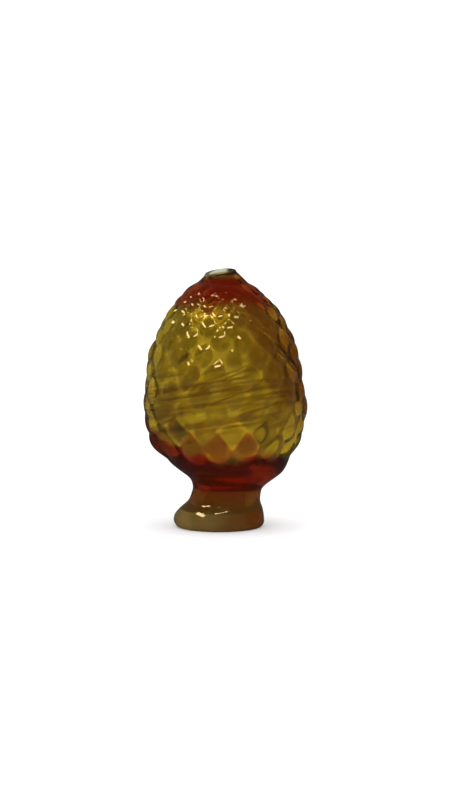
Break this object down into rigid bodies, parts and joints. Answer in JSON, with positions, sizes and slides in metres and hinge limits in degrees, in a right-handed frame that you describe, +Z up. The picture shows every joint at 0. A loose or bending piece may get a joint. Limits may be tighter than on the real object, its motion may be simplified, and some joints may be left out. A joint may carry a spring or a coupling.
{
  "type": "footed glass globe",
  "caption": "Hand-blown hollow glass egg with a scale pattern, amber with ruby ends, a small beaded mouth and a thick flared foot.",
  "frame": {"origin": "under the middle of the globe, on the plane that the foot stands on", "axes": "+Z up through the globe to its mouth; the mouth leans a little towards -Y; the foot sits off centre towards -X"},
  "size_m": [0.1133, 0.1132, 0.1813],
  "materials": {
    "globe_glass": "transparent amber glass struck to ruby at both ends, glossy",
    "bead_glass": "transparent brown amber glass, fire polished",
    "collar_glass": "transparent brown amber glass, glossy",
    "foot_glass": "transparent olive amber glass, fire polished"
  },
  "bodies": {
    "root": {"globe": "globe_glass", "mouth_bead": "bead_glass", "neck_collar": "collar_glass", "flared_foot": "foot_glass"}
  },
  "joints": []
}
